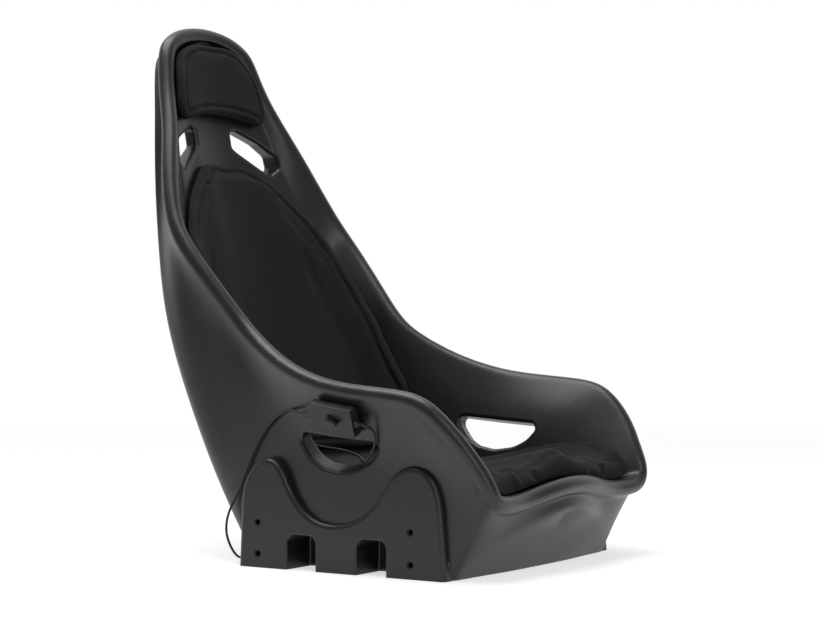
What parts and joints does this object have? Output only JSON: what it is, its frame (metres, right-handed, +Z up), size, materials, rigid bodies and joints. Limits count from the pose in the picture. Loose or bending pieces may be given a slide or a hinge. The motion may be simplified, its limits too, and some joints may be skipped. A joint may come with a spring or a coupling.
{
  "type": "racing seat",
  "caption": "Fixed-back bucket seat with belt slots, three fabric pads, a vibration pad wired to a dimmer box on its side, and threaded side mounts.",
  "frame": {"origin": "on the floor under the seat, on its middle plane, at the middle of the side bolt patterns", "axes": "+X to the sitter's left, +Y to the rear, +Z up"},
  "size_m": [0.5974, 0.7951, 0.9035],
  "materials": {
    "shell_plastic": "satin, lightly grained black polyethylene",
    "insert_brass": "machined, dulled",
    "pad_fabric": "short-napped suede-like black cloth",
    "foam": "dark open-cell foam",
    "hook_tape": "black hook-and-loop tape",
    "shaker_case": "moulded case",
    "box_plastic": "fine grained black",
    "screw_steel": "blackened",
    "mount_rubber": "matte foam rubber",
    "board": "green board",
    "component_case": "moulded",
    "pot_metal": "plated",
    "knob_plastic": "satin black",
    "socket_plastic": "moulded",
    "plug_rubber": "moulded",
    "cable_sheath": "smooth black sheath",
    "tongue_steel": "nickel plated"
  },
  "bodies": {
    "seat": {"seat_shell": "shell_plastic", "side_inserts": "insert_brass", "head_pad_cover": "pad_fabric", "head_pad_foam": "foam", "head_pad_strips": "hook_tape", "back_pad_cover": "pad_fabric", "back_pad_foam": "foam", "back_pad_shakers": "shaker_case", "back_pad_strips": "hook_tape", "seat_pad_cover": "pad_fabric", "seat_pad_foam": "foam", "seat_pad_strips": "hook_tape", "box_base": "box_plastic", "box_cover": "box_plastic", "box_screws": "screw_steel", "box_mount_pad": "mount_rubber", "circuit_board": "board", "board_components": "component_case", "dimmer_pot": "pot_metal", "pot_nut": "screw_steel", "supply_socket": "socket_plastic", "supply_plug": "plug_rubber", "pad_socket": "socket_plastic", "pad_plug": "plug_rubber", "pad_cable": "cable_sheath", "supply_cable": "cable_sheath", "supply_cable_coil": "cable_sheath", "coil_tie": "hook_tape", "usb_plug_body": "plug_rubber", "usb_plug_tongue": "tongue_steel"},
    "knob": {"control_knob": "knob_plastic", "knob_shaft": "screw_steel"}
  },
  "joints": [
    {"name": "knob_turn", "type": "hinge", "parent": "seat", "child": "knob", "pos_m": [-0.28838, -0.01448, 0.23912], "axis": [-0.9039, 0.1169, -0.4113], "range_deg": [-60, 240]}
  ]
}
